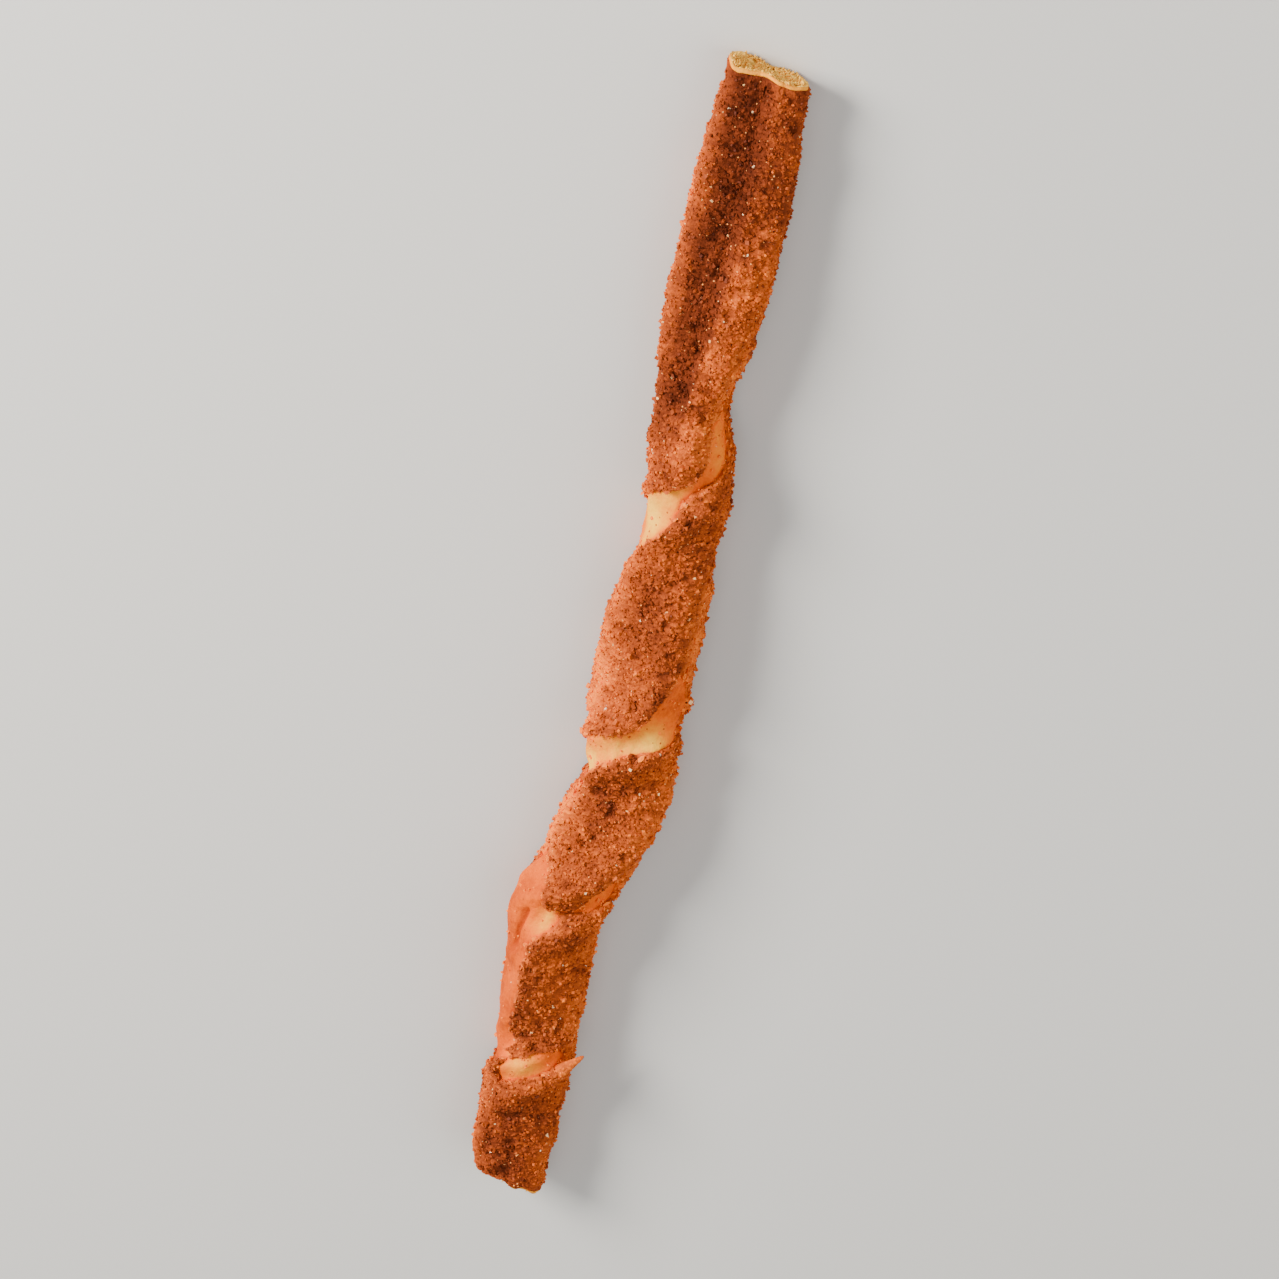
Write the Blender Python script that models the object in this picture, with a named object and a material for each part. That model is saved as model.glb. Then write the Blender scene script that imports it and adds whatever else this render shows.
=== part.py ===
"""A twisted cinnamon breadstick, lying on the side that it was baked on.

A strip of dough, wider than it is thick, has a crust of cinnamon and sugar on both wide faces. It is
twisted through four half turns, so its brown faces take turns at the top, and at each half turn one of the
strip's narrow sides, of bare pale dough, crosses over. X runs along the stick and Z is up. The origin is on
the surface that the stick lies on, below its middle.
"""

import itertools
import math

import bmesh
import bpy
import numpy as np

MM = 0.001

# The stick, in millimetres. Places along it are distances from the end at -X.
LENGTH = 201.0
CORNER_POWER = 3.5
PRESSED_FLAT = 0.1
CROSSING_RISE = 0.5

# Where a bare side crosses over the top, and the length in which most of that half turn is made.
CROSSINGS = ((24.5, 7.0), (56.0, 8.5), (86.5, 8.0), (131.0, 9.5))
# A little extra turn, in half turns, that keeps a bare side in sight between the two lowest crossings.
EXTRA_TURN = ((0, 0.0), (22, 0.02), (38, 0.14), (48, 0.08), (60, 0.0), (LENGTH, 0.0))

# The strip's width and thickness where a wide face is on top, and where a bare side is, by place.
FACE_WIDTHS = (
    (0, 10.8), (8, 11.8), (30, 12.8), (46, 13.9), (58, 13.2), (72, 15.0), (104, 14.6), (118, 12.8),
    (132, 11.2), (138, 10.2), (147, 9.6), (156, 12.8), (178, 14.6), (194, 12.8), (LENGTH, 12.2),
)
FACE_THICKS = ((0, 9.0), (38, 9.8), (70, 10.2), (108, 10.0), (160, 9.2), (LENGTH, 7.4))
SIDE_WIDTHS = ((0, 11.6), (54, 12.2), (87, 12.4), (131, 11.4), (LENGTH, 11.6))
SIDE_THICKS = ((0, 10.6), (24, 11.8), (55, 14.9), (87, 13.0), (131, 12.2), (LENGTH, 11.0))
# How far the stick bends to +Y.
BENDS = (
    (0, 1.4), (16, 2.0), (27, 2.0), (36, 2.8), (46, 3.4), (56, 2.9), (62, 0.4), (68, -0.9), (78, -2.1),
    (104, -1.7), (120, -2.0), (132, -2.2), (138, -1.1), (148, 0.9), (160, 0.4), (180, 0.1), (LENGTH, 0.4),
)

# Relief: the crust stands out, and the bare dough along parts of the narrow sides lies lower.
CRUST_RISE = 0.45
DOUGH_DIP = 0.5
BORDER = 0.5
# The bare dough lies in bands. Each gives, by place, how far round the outline from the middle of a narrow side
# its two borders are. Where the first is above the second, there is crust. The far side is -1, the near one 1.
FAR_SIDE_BARE = (
    (0, 0.6, -0.6), (20, 4.0, 3.4), (22, 6.0, 9.0), (24, 5.0, 13.0), (28, 1.0, 13.0), (31, -5.0, 7.6),
    (34, -7.5, 6.0),
    (38, -8.5, 5.4), (41, -9.0, 5.1), (45, -10.0, 4.5), (50.3, -12.0, 3.0), (52, -16.0, 3.6),
    (54.6, -16.0, 2.2), (55.4, -16.0, 0.4), (56.2, 2.0, 4.8), (57, 1.9, 5.6), (58.1, 1.1, 6.0),
    (59, 0.3, 5.7), (60.2, -0.4, 4.4), (61.4, -1.1, 2.8), (62.4, -1.6, 1.4), (63.4, -0.4, 0.2),
    (64.2, 0.6, -0.6), (80, 0.6, -0.6), (84, -1.5, 1.2), (90, -1.2, 1.5), (93, 0.6, -0.6),
    (114, 0.6, -0.6), (117.5, -2.5, 3.0), (121, -6.5, 4.5), (124.5, -7.1, 5.1), (127.4, -7.1, 3.8),
    (130, -6.7, 1.9), (132, -5.6, 0.4), (133.4, -4.4, -0.1), (135, -2.3, 0.7), (136.3, -1.3, 1.9),
    (137.7, -0.9, 3.2), (141, -1.4, 3.8), (144.5, -1.0, 3.8), (147, 0.0, 3.4), (149.5, 1.0, 2.2),
    (151, 0.6, -0.6), (LENGTH, 0.6, -0.6),
)
NEAR_SIDE_BARE = (
    (0, 0.6, -0.6), (20.2, 0.6, -0.6), (21.2, 0.1, 1.6), (22.2, -0.1, 3.0), (23.2, -0.5, 4.6),
    (24.2, -1.1, 6.2), (25.3, -1.8, 7.8), (26.2, -2.3, 9.1), (27.9, -1.1, 8.5), (28.8, 1.5, 7.4),
    (29.8, 3.5, 4.6), (30.6, 4.4, 3.6), (33, 0.6, -0.6), (48, 0.6, -0.6), (52, -1.4, 1.4), (60, -1.2, 1.6),
    (64, 0.6, -0.6), (75.6, 1.4, 0.8), (77.0, -2.2, 3.0), (78.3, -3.6, 4.8), (80, -3.9, 6.4),
    (82.5, -2.8, 8.3), (85.1, -1.6, 8.3), (86.6, -2.0, 8.1), (87.7, -3.8, 7.7), (88.9, -7.4, 6.7),
    (90.3, -7.6, 4.8), (91.4, -7.4, 3.6), (94.6, -5.8, 3.5), (97.8, -3.8, 3.8), (100.2, -0.9, 3.2),
    (102, 1.6, 2.0), (103.5, 0.6, -0.6), (126, 0.6, -0.6), (129, -1.5, 1.2), (134, -1.3, 1.5),
    (137, 0.6, -0.6), (LENGTH, 0.6, -0.6),
)
FAR_FLANK_BARE = (
    (0, 12.0, -12.0), (53.5, 12.0, -12.0), (55.0, -16.0, -2.0), (56.9, -16.0, -4.3), (58.9, -16.0, -9.8),
    (60.2, -12.0, -13.4), (62, 12.0, -12.0), (LENGTH, 12.0, -12.0),
)
NEAR_FLANK_BARE = (
    (0, 12.0, -12.0), (20.5, 12.0, -12.0), (22.5, 9.0, 16.0), (26.5, 9.4, 16.0), (29, 12.0, -12.0),
    (51, 12.0, -12.0), (52.5, -16.0, -7.0), (57.5, -16.0, -5.0), (60.7, -11.3, -4.0), (62.4, -8.2, -3.6),
    (64, -5.8, -5.0), (65.5, -5.6, -6.8), (68, 12.0, -12.0), (LENGTH, 12.0, -12.0),
)
BARE_BANDS = ((-1, FAR_SIDE_BARE), (1, NEAR_SIDE_BARE), (-1, FAR_FLANK_BARE), (1, NEAR_FLANK_BARE))
BORDER_NOISE = ((3.0, 0.35, 41), (1.3, 0.25, 43))
# Hollows in a flank, and with a depth below 0 a swelling: place, heading in degrees from straight up towards
# -Y, reach along in mm and round in degrees, and depth.
HOLLOWS = (
    (78.0, -85.0, 4.2, 45.0, 2.8), (89.5, -80.0, 4.0, 40.0, -1.2), (119.5, -82.0, 3.6, 40.0, 0.5),
    (138.5, -85.0, 4.0, 40.0, 0.6),
)
# Lumps in the surface: size, height and seed of each kind.
LUMPS = ((11.0, 0.40, 3), (5.0, 0.30, 17), (2.8, 0.30, 29))
# The long trough in the longest brown face: where it starts and is deepest, and its shape across.
TROUGH_START, TROUGH_FULL = 138.0, 152.0
TROUGH_DEPTH, TROUGH_MIDDLE = 1.6, 1.9
TROUGH_HALF_WIDTHS = (3.4, 2.8)

# The two snapped ends: how far in they shape the stick, and how ragged, rough and hollow they are. The low end
# slants in towards -Y from a pivot. The high end reaches out, more towards +Y and more at the top, and so the
# whole stick is set back, to have its middle over the origin.
END_REACH = 9.0
END_RAGGED = 0.9
CRUMB_ROUGH = 0.5
END_HOLLOW = 0.8
LOW_END_SLANT = 0.34
LOW_END_PIVOT = 3.5
HIGH_END_REACH, HIGH_END_SLANT, HIGH_END_LEAN = 1.9, 0.1, 0.08
SET_BACK = 1.4

# How finely the solid is cut into faces.
COLUMNS = 36
ROW_STEP = 1.75
CAP_RINGS = 5

# The torn point beside the lowest crossing: its root's place along, to the side and up, its size, how much of
# it is sunk in the stick, how far its tip curls up, and its heading from +X towards +Y.
POINT_PLACE = (24.2, -2.3, 9.3)
POINT_LENGTH, POINT_WIDTH, POINT_THICK = 9.2, 2.8, 1.9
POINT_ROOT = 2.2
POINT_CURL = 0.8
POINT_HEADING = math.radians(-37.0)
POINT_STEPS = 6
POINT_SIDES = 8

CRUST_BROWN = (0.42, 0.16, 0.055, 1.0)


def spline(s, knots):
    """A smooth curve through knots of (place, value), its slope at each knot that of the two beside it."""
    x, y = np.array(knots, float).T
    slopes = np.gradient(y, x)
    s = np.clip(s, x[0], x[-1])
    k = np.clip(np.searchsorted(x, s, side="right") - 1, 0, len(x) - 2)
    span = x[k + 1] - x[k]
    t = (s - x[k]) / span
    value = (1 + 2 * t) * (1 - t) ** 2 * y[k] + t**2 * (3 - 2 * t) * y[k + 1]
    return value + span * (t * (1 - t) ** 2 * slopes[k] - t**2 * (1 - t) * slopes[k + 1])


def smooth(low, high, value):
    """0 below low, 1 above high, and an S between."""
    t = np.clip((value - low) / (high - low), 0, 1)
    return t * t * (3 - 2 * t)


def turned(s):
    """The twist in radians: half a turn round each crossing, and almost none between."""
    half_turns = spline(s, EXTRA_TURN) - 0.5
    for place, length in CROSSINGS:
        half_turns = half_turns + 0.5 * (1 + np.tanh((s - place) / length))
    return math.pi * half_turns


def hashed(cell, seed):
    """A repeatable number from 0 to 1 for each cube of a grid."""
    h = cell[..., 0] * 374761393 + cell[..., 1] * 668265263 + cell[..., 2] * 1103515245 + seed * 1274126177
    h = h & 0xFFFFFFFF
    h = ((h ^ (h >> 13)) * 1274126177) & 0xFFFFFFFF
    return (h ^ (h >> 16)) / 0xFFFFFFFF


def noise(points, size, seed):
    """Smooth noise from -1 to 1: a random number at each corner of cubes of this size, blended between."""
    place = points / size
    cell = np.floor(place).astype(np.int64)
    t = place - cell
    t = t**3 * (t * (t * 6 - 15) + 10)
    total = 0.0
    for corner in itertools.product((0, 1), repeat=3):
        weight = np.prod(np.where(np.array(corner) == 1, t, 1 - t), axis=-1)
        total = total + weight * hashed(cell + np.array(corner), seed)
    return 2 * total - 1


def section(s, angle):
    """The plain strip's outline, a rounded rectangle: a across its width and b across its thickness."""
    on_side = np.cos(turned(s)) ** 2
    width = spline(s, FACE_WIDTHS) * (1 - on_side) + spline(s, SIDE_WIDTHS) * on_side
    thick = spline(s, FACE_THICKS) * (1 - on_side) + spline(s, SIDE_THICKS) * on_side
    across = np.abs(np.cos(angle)) / (width / 2)
    through = np.abs(np.sin(angle)) / (thick / 2)
    radius = (across**CORNER_POWER + through**CORNER_POWER) ** (-1 / CORNER_POWER)
    return radius * np.cos(angle), radius * np.sin(angle)


def placed(s, a, b):
    """Points of the strip, turned by its twist and set on its bent middle line."""
    phi = turned(s)
    middle = spline(s, FACE_THICKS) / 2 - PRESSED_FLAT + CROSSING_RISE * np.cos(phi) ** 2
    y = spline(s, BENDS) - a * np.sin(phi) + b * np.cos(phi)
    z = middle + a * np.cos(phi) + b * np.sin(phi)
    return np.stack(np.broadcast_arrays(s - LENGTH / 2, y, z), axis=-1)


def crusted(s, a, b):
    """1 where crust covers the strip and 0 on the bare dough, with an uneven border."""
    half_width = section(s, 0.0)[0]
    round_from_side = b + np.sign(b) * (half_width - np.abs(a))
    inside = np.inf
    for side, band in BARE_BANDS:
        places, low, high = np.array(band, float).T
        outside_band = np.maximum(np.interp(s, places, low) - round_from_side,
                                  round_from_side - np.interp(s, places, high))
        inside = np.minimum(inside, np.where(a * side > 0, outside_band, np.inf))
    plain = placed(s, a, b)
    uneven = sum(height * noise(plain, size, seed) for size, height, seed in BORDER_NOISE)
    return smooth(-BORDER, BORDER, inside + uneven)


def hollows(s, a, b):
    """How deep the flanks' hollows are at a point."""
    phi = turned(s)
    heading = np.degrees(np.arctan2(a * np.sin(phi) - b * np.cos(phi), a * np.cos(phi) + b * np.sin(phi)))
    return sum(depth * np.exp(-(((s - place) / along) ** 2) - ((heading - middle) / round_it) ** 2)
               for place, middle, along, round_it, depth in HOLLOWS)


def relief(s, a, b):
    """How far the surface stands out from the plain strip."""
    plain = placed(s, a, b)
    crust = crusted(s, a, b)
    rise = CRUST_RISE * crust - DOUGH_DIP * (1 - crust)
    for size, height, seed in LUMPS:
        rise = rise + height * noise(plain, size, seed)
    half_width = np.where(a > TROUGH_MIDDLE, *TROUGH_HALF_WIDTHS)
    trough = np.exp(-(((a - TROUGH_MIDDLE) / half_width) ** 4)) * (b < 0)
    return rise - TROUGH_DEPTH * smooth(TROUGH_START, TROUGH_FULL, s) * trough - hollows(s, a, b)


def skin(s, angle):
    """Points on the finished side of the stick, ragged towards its ends and pressed flat underneath."""
    a, b = section(s, angle)
    grown = 1 + relief(s, a, b) / np.hypot(a, b)
    points = placed(s, a * grown, b * grown)
    low_end = np.clip(1 - s / END_REACH, 0, 1) ** 2
    high_end = np.clip(1 - (LENGTH - s) / END_REACH, 0, 1) ** 2
    ragged = 0.7 * noise(points, 4.0, 51) + 0.5 * noise(points, 1.9, 53)
    points[..., 0] += END_RAGGED * (low_end + high_end) * ragged
    points[..., 0] += LOW_END_SLANT * low_end * (points[..., 1] + LOW_END_PIVOT)
    slant = HIGH_END_REACH + HIGH_END_SLANT * points[..., 1] + HIGH_END_LEAN * points[..., 2]
    points[..., 0] += high_end * slant - SET_BACK
    points[..., 2] = np.maximum(points[..., 2], 0.0)
    return points


def row_places():
    """Places of the rows of points, closer where the stick twists fast."""
    fine = np.linspace(0, LENGTH, 2000)
    half_width = 6.0
    steps = np.hypot(np.diff(fine), half_width * np.diff(turned(fine)))
    path = np.concatenate([[0], np.cumsum(steps)])
    return np.interp(np.linspace(0, path[-1], round(path[-1] / ROW_STEP) + 1), path, fine)


def cap_rings(rim, outward):
    """Rings from the rim of a snapped end in to its middle, over rough crumb that dips a little."""
    middle = rim.mean(axis=0)
    rings = []
    for share in np.linspace(1, 0, CAP_RINGS, endpoint=False)[1:]:
        ring = middle + (rim - middle) * share
        ring[:, 0] += outward * (CRUMB_ROUGH * noise(ring, 1.7, 61) - END_HOLLOW * (1 - share**2))
        rings.append(ring)
    return rings, middle - np.array([outward * END_HOLLOW, 0, 0])


def tube_mesh(name, rows, low_tip, high_tip):
    """A closed mesh over rings of points that all have the same number, with a point at each end."""
    bm = bmesh.new()
    loops = [[bm.verts.new(point * MM) for point in row] for row in rows]
    around = [(j, (j + 1) % len(rows[0])) for j in range(len(rows[0]))]
    for low, high in zip(loops, loops[1:]):
        for j, k in around:
            bm.faces.new((low[j], low[k], high[k]))
            bm.faces.new((low[j], high[k], high[j]))
    for ring, tip in ((loops[0], low_tip), (loops[-1], high_tip)):
        centre = bm.verts.new(tip * MM)
        for j, k in around:
            bm.faces.new((ring[j], ring[k], centre))
    bmesh.ops.recalc_face_normals(bm, faces=bm.faces)
    mesh = bpy.data.meshes.new(name)
    bm.to_mesh(mesh)
    bm.free()
    mesh.shade_smooth()
    return mesh


def stick_mesh():
    """The whole stick: rows of points round it, and rough crumb on each end."""
    angles = np.arange(COLUMNS) * 2 * math.pi / COLUMNS
    rows = list(skin(row_places()[:, None], angles[None, :]))
    low_rings, low_tip = cap_rings(rows[0], -1)
    high_rings, high_tip = cap_rings(rows[-1], 1)
    return tube_mesh("breadstick", low_rings[::-1] + rows + high_rings, low_tip, high_tip)


def torn_point():
    """A torn bit of the strip, thick at its root and narrowing to a blunt point that curls up."""
    turn = np.arange(POINT_SIDES) * 2 * math.pi / POINT_SIDES
    rows = []
    for t in np.linspace(0, 1, POINT_STEPS, endpoint=False):
        taper = math.sqrt(1 - t)
        x = np.full(POINT_SIDES, POINT_LENGTH * t - POINT_ROOT)
        y = np.cos(turn) * POINT_WIDTH / 2 * taper
        z = np.sin(turn) * POINT_THICK / 2 * taper + POINT_CURL * t * t
        rows.append(np.stack([x, y, z], axis=-1))
    root = np.array([-POINT_ROOT, 0, 0])
    tip = np.array([POINT_LENGTH - POINT_ROOT, 0, POINT_CURL])
    point = bpy.data.objects.new("torn_point", tube_mesh("torn_point", rows, root, tip))
    bpy.context.scene.collection.objects.link(point)
    along, side, height = POINT_PLACE
    point.location = ((along - LENGTH / 2 - SET_BACK) * MM, side * MM, height * MM)
    point.rotation_euler = (0, 0, POINT_HEADING)
    return point


def fuse(stick, piece):
    """Adds a piece to the stick, as one solid."""
    union = stick.modifiers.new("fuse", "BOOLEAN")
    union.operation = "UNION"
    union.object = piece
    bpy.context.view_layer.objects.active = stick
    bpy.ops.object.modifier_apply(modifier=union.name)
    bpy.data.objects.remove(piece, do_unlink=True)


def crust_material():
    """Baked cinnamon crust: matt brown."""
    material = bpy.data.materials.new("cinnamon_crust")
    material.use_nodes = True
    shader = material.node_tree.nodes["Principled BSDF"]
    shader.inputs["Base Color"].default_value = CRUST_BROWN
    shader.inputs["Roughness"].default_value = 0.8
    shader.inputs["Metallic"].default_value = 0.0
    return material


def main():
    for old in list(bpy.data.objects):
        bpy.data.objects.remove(old, do_unlink=True)
    stick = bpy.data.objects.new("breadstick", stick_mesh())
    bpy.context.scene.collection.objects.link(stick)
    stick.data.materials.append(crust_material())
    fuse(stick, torn_point())


main()
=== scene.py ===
# %% [markdown]
# A twisted cinnamon breadstick.
#
# The real thing is a flat strip of dough. Both wide faces are pressed into cinnamon and sugar, the strip
# is twisted, and it is baked until it is crisp. So there are two surfaces to make: a grainy brown crust
# on the wide faces, and smooth bare dough along the narrow sides, which shows as a pale band wherever half
# a turn brings a narrow side to the top. Both ends are snapped, and show the open crumb.
#
# Everything is worked out in millimetres and put into the meshes in metres, in the frame's own place.

import itertools
import math

import bpy
import numpy as np
from mathutils import Matrix, Vector


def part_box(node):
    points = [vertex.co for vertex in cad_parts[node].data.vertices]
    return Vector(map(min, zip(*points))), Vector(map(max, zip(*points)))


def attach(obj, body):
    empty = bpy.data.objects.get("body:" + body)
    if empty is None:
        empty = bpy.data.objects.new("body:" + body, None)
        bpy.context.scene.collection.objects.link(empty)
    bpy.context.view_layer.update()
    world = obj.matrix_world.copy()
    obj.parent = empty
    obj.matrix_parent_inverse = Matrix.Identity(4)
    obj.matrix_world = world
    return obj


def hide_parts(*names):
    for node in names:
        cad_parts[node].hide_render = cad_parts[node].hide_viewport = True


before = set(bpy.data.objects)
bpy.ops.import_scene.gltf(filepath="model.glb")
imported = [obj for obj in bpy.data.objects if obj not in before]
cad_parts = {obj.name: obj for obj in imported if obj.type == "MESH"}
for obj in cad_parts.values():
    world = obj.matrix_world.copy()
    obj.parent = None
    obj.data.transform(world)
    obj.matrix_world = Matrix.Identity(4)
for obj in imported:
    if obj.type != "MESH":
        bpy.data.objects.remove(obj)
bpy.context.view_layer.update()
stick_low, stick_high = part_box("breadstick")
print("solid, mm:", [round(1000 * (h - l), 1) for l, h in zip(stick_low, stick_high)])

# %% [markdown]
# The strip's own sizes.
#
# A place along the stick is its distance from the end at -X. Widths, thicknesses and bends are curves
# through a few places, measured where the form changes: a wide face is broadest in the middle of its
# stretch, and the stick is waisted where it has just turned. These are the same driving sizes as the solid
# has, so the fine surface follows the solid everywhere.

# %% Driving sizes
MM = 0.001
LENGTH = 201.0
CORNER_POWER = 3.5
PRESSED_FLAT = 0.1
CROSSING_RISE = 0.5
CROSSINGS = ((24.5, 7.0), (56.0, 8.5), (86.5, 8.0), (131.0, 9.5))
EXTRA_TURN = ((0, 0.0), (22, 0.02), (38, 0.14), (48, 0.08), (60, 0.0), (LENGTH, 0.0))
FACE_WIDTHS = (
    (0, 10.8), (8, 11.8), (30, 12.8), (46, 13.9), (58, 13.2), (72, 15.0), (104, 14.6), (118, 12.8),
    (132, 11.2), (138, 10.2), (147, 9.6), (156, 12.8), (178, 14.6), (194, 12.8), (LENGTH, 12.2),
)
FACE_THICKS = ((0, 9.0), (38, 9.8), (70, 10.2), (108, 10.0), (160, 9.2), (LENGTH, 7.4))
SIDE_WIDTHS = ((0, 11.6), (54, 12.2), (87, 12.4), (131, 11.4), (LENGTH, 11.6))
SIDE_THICKS = ((0, 10.6), (24, 11.8), (55, 14.9), (87, 13.0), (131, 12.2), (LENGTH, 11.0))
BENDS = (
    (0, 1.4), (16, 2.0), (27, 2.0), (36, 2.8), (46, 3.4), (56, 2.9), (62, 0.4), (68, -0.9), (78, -2.1),
    (104, -1.7), (120, -2.0), (132, -2.2), (138, -1.1), (148, 0.9), (160, 0.4), (180, 0.1), (LENGTH, 0.4),
)
CRUST_RISE = 0.45
DOUGH_DIP = 0.5
LUMPS = ((11.0, 0.40, 3), (5.0, 0.30, 17), (2.8, 0.30, 29))
TROUGH_START, TROUGH_FULL = 138.0, 152.0
TROUGH_DEPTH, TROUGH_MIDDLE = 1.6, 1.9
TROUGH_HALF_WIDTHS = (3.4, 2.8)
HOLLOWS = (
    (78.0, -85.0, 4.2, 45.0, 2.8), (89.5, -80.0, 4.0, 40.0, -1.2), (119.5, -82.0, 3.6, 40.0, 0.5),
    (138.5, -85.0, 4.0, 40.0, 0.6),
)
END_REACH = 9.0
END_RAGGED = 0.9
END_NOISE = ((4.0, 0.7, 51), (1.9, 0.5, 53))
END_HOLLOW = 0.8
LOW_END_SLANT = 0.34
LOW_END_PIVOT = 3.5
HIGH_END_REACH, HIGH_END_SLANT, HIGH_END_LEAN = 1.9, 0.1, 0.08
SET_BACK = 1.4
print("strip", LENGTH, "mm long, with crossings at", [place for place, _ in CROSSINGS])

# %% [markdown]
# Where the dough is bare.
#
# The crust doesn't stop in a straight line. Bare dough lies in bands between two borders that run along the
# stick, each given by how far round the outline it is from the middle of a narrow side. Where the first lies
# above the second, there is crust. The far side is -1 and the near one 1. One band on each side follows the
# side itself, and one more on each follows a flank where the crust was rubbed off. A painted mask could say
# the same, but borders in millimetres can be measured and moved. All of it is the solid's.

# %% The borders of the bare dough
FAR_SIDE_BARE = (
    (0, 0.6, -0.6), (20, 4.0, 3.4), (22, 6.0, 9.0), (24, 5.0, 13.0), (28, 1.0, 13.0), (31, -5.0, 7.6),
    (34, -7.5, 6.0), (38, -8.5, 5.4), (41, -9.0, 5.1), (45, -10.0, 4.5), (50.3, -12.0, 3.0), (52, -16.0, 3.6),
    (54.6, -16.0, 2.2), (55.4, -16.0, 0.4), (56.2, 2.0, 4.8), (57, 1.9, 5.6), (58.1, 1.1, 6.0),
    (59, 0.3, 5.7), (60.2, -0.4, 4.4), (61.4, -1.1, 2.8), (62.4, -1.6, 1.4), (63.4, -0.4, 0.2),
    (64.2, 0.6, -0.6), (80, 0.6, -0.6), (84, -1.5, 1.2), (90, -1.2, 1.5), (93, 0.6, -0.6),
    (114, 0.6, -0.6), (117.5, -2.5, 3.0), (121, -6.5, 4.5), (124.5, -7.1, 5.1), (127.4, -7.1, 3.8),
    (130, -6.7, 1.9), (132, -5.6, 0.4), (133.4, -4.4, -0.1), (135, -2.3, 0.7), (136.3, -1.3, 1.9),
    (137.7, -0.9, 3.2), (141, -1.4, 3.8), (144.5, -1.0, 3.8), (147, 0.0, 3.4), (149.5, 1.0, 2.2),
    (151, 0.6, -0.6), (LENGTH, 0.6, -0.6),
)
NEAR_SIDE_BARE = (
    (0, 0.6, -0.6), (20.2, 0.6, -0.6), (21.2, 0.1, 1.6), (22.2, -0.1, 3.0), (23.2, -0.5, 4.6),
    (24.2, -1.1, 6.2), (25.3, -1.8, 7.8), (26.2, -2.3, 9.1), (27.9, -1.1, 8.5), (28.8, 1.5, 7.4),
    (29.8, 3.5, 4.6), (30.6, 4.4, 3.6), (33, 0.6, -0.6), (48, 0.6, -0.6), (52, -1.4, 1.4), (60, -1.2, 1.6),
    (64, 0.6, -0.6), (75.6, 1.4, 0.8), (77.0, -2.2, 3.0), (78.3, -3.6, 4.8), (80, -3.9, 6.4),
    (82.5, -2.8, 8.3), (85.1, -1.6, 8.3), (86.6, -2.0, 8.1), (87.7, -3.8, 7.7), (88.9, -7.4, 6.7),
    (90.3, -7.6, 4.8), (91.4, -7.4, 3.6), (94.6, -5.8, 3.5), (97.8, -3.8, 3.8), (100.2, -0.9, 3.2),
    (102, 1.6, 2.0), (103.5, 0.6, -0.6), (126, 0.6, -0.6), (129, -1.5, 1.2), (134, -1.3, 1.5),
    (137, 0.6, -0.6), (LENGTH, 0.6, -0.6),
)
FAR_FLANK_BARE = (
    (0, 12.0, -12.0), (53.5, 12.0, -12.0), (55.0, -16.0, -2.0), (56.9, -16.0, -4.3), (58.9, -16.0, -9.8),
    (60.2, -12.0, -13.4), (62, 12.0, -12.0), (LENGTH, 12.0, -12.0),
)
NEAR_FLANK_BARE = (
    (0, 12.0, -12.0), (20.5, 12.0, -12.0), (22.5, 9.0, 16.0), (26.5, 9.4, 16.0), (29, 12.0, -12.0),
    (51, 12.0, -12.0), (52.5, -16.0, -7.0), (57.5, -16.0, -5.0), (60.7, -11.3, -4.0), (62.4, -8.2, -3.6),
    (64, -5.8, -5.0), (65.5, -5.6, -6.8), (68, 12.0, -12.0), (LENGTH, 12.0, -12.0),
)
BARE_BANDS = ((-1, FAR_SIDE_BARE), (1, NEAR_SIDE_BARE), (-1, FAR_FLANK_BARE), (1, NEAR_FLANK_BARE))
BORDER_NOISE = ((3.0, 0.35, 41), (1.3, 0.25, 43))
SIDE_REACH = 3.4
print("bands of bare dough:", len(BARE_BANDS), "places:", sum(len(band) for _, band in BARE_BANDS))

# %% [markdown]
# Curves and noise.
#
# Blender's noise functions take one point at a time, which is slow for a hundred thousand points, so here
# they are as array functions: a smooth noise for lumps and patches, and a cell noise for grains. The cell
# noise scatters one point in each cube of a grid. Each point owns the places nearest to it, and between two
# such cells there is a groove, which is how grains of sugar lie in a crust. A list of noises gives the size
# in mm, the height and the seed of each.

# %% Curves and noise as array functions
MIXERS = (374761393, 668265263, 1103515245, 1274126177)
ALL_BITS = 0xFFFFFFFF


def spline(s, knots):
    """A smooth curve through knots of (place, value): cubics whose slopes come from the knots beside."""
    x, y = np.array(knots, float).T
    slopes = np.gradient(y, x)
    s = np.clip(s, x[0], x[-1])
    k = np.clip(np.searchsorted(x, s, side="right") - 1, 0, len(x) - 2)
    span = x[k + 1] - x[k]
    t = (s - x[k]) / span
    value = (1 + 2 * t) * (1 - t) ** 2 * y[k] + t**2 * (3 - 2 * t) * y[k + 1]
    return value + span * (t * (1 - t) ** 2 * slopes[k] - t**2 * (1 - t) * slopes[k + 1])


def smooth(low, high, value):
    """0 below low, 1 above high, and between them 3t^2 - 2t^3. It falls where low is the larger one."""
    t = np.clip((value - low) / (high - low), 0, 1)
    return t * t * (3 - 2 * t)


def hashed(cell, seed):
    """A repeatable number from 0 to 1 for each whole-numbered cell: coordinates multiplied and mixed."""
    h = cell[..., 0] * MIXERS[0] + cell[..., 1] * MIXERS[1] + cell[..., 2] * MIXERS[2] + seed * MIXERS[3]
    h = h & ALL_BITS
    h = ((h ^ (h >> 13)) * MIXERS[3]) & ALL_BITS
    return (h ^ (h >> 16)) / ALL_BITS


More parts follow.
